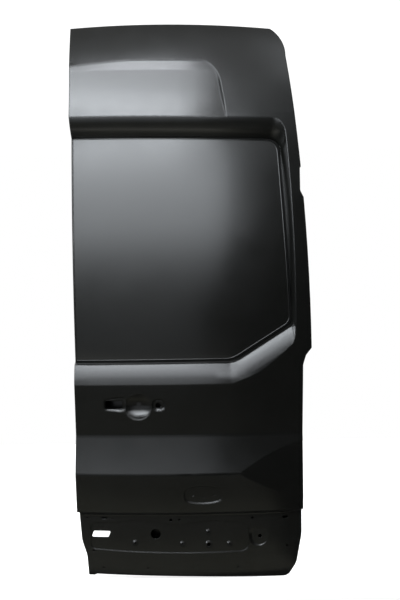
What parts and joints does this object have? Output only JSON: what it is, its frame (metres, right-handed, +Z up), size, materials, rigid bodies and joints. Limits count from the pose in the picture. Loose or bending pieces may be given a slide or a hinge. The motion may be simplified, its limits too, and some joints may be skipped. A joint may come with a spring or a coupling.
{
  "type": "campervan rear barn door leaf",
  "caption": "Bare steel high-roof van rear barn door leaf with blanked window pocket, scooped brow, handle bowl, lower trim panel and inner frame, for hanging on hinges.",
  "frame": {"origin": "centre of the upper hinge face on the hinge-side wall", "axes": "+X from the lock edge to the hinge edge, +Y from outside to inside, +Z up"},
  "size_m": [0.863, 0.1494, 2.0197],
  "materials": {
    "primed_steel": "satin black electrocoat primer",
    "bond_adhesive": "cured black adhesive bead",
    "mastic": "soft dark mastic"
  },
  "bodies": {
    "root": {"bottom_rail": "primed_steel", "brow_rail": "primed_steel", "check_strap_doubler": "primed_steel", "crease_bar": "primed_steel", "crease_pads": "mastic", "handle_slot_doubler": "primed_steel", "inner_panel_lower": "primed_steel", "inner_panel_upper": "primed_steel", "key_slot_doubler": "primed_steel", "latch_doubler": "primed_steel", "lower_bolt_plate": "primed_steel", "lower_hinge_doubler": "primed_steel", "lower_hinge_nut_plate": "primed_steel", "lower_panel": "primed_steel", "outer_skin": "primed_steel", "upper_bolt_plate": "primed_steel", "upper_hinge_doubler": "primed_steel", "upper_hinge_nut_plate": "primed_steel", "waist_rail": "primed_steel", "window_bar_hinge_side": "primed_steel", "window_bar_lock_side": "primed_steel", "window_blank": "primed_steel", "window_bond_bead": "bond_adhesive", "window_pads": "mastic"}
  },
  "joints": []
}
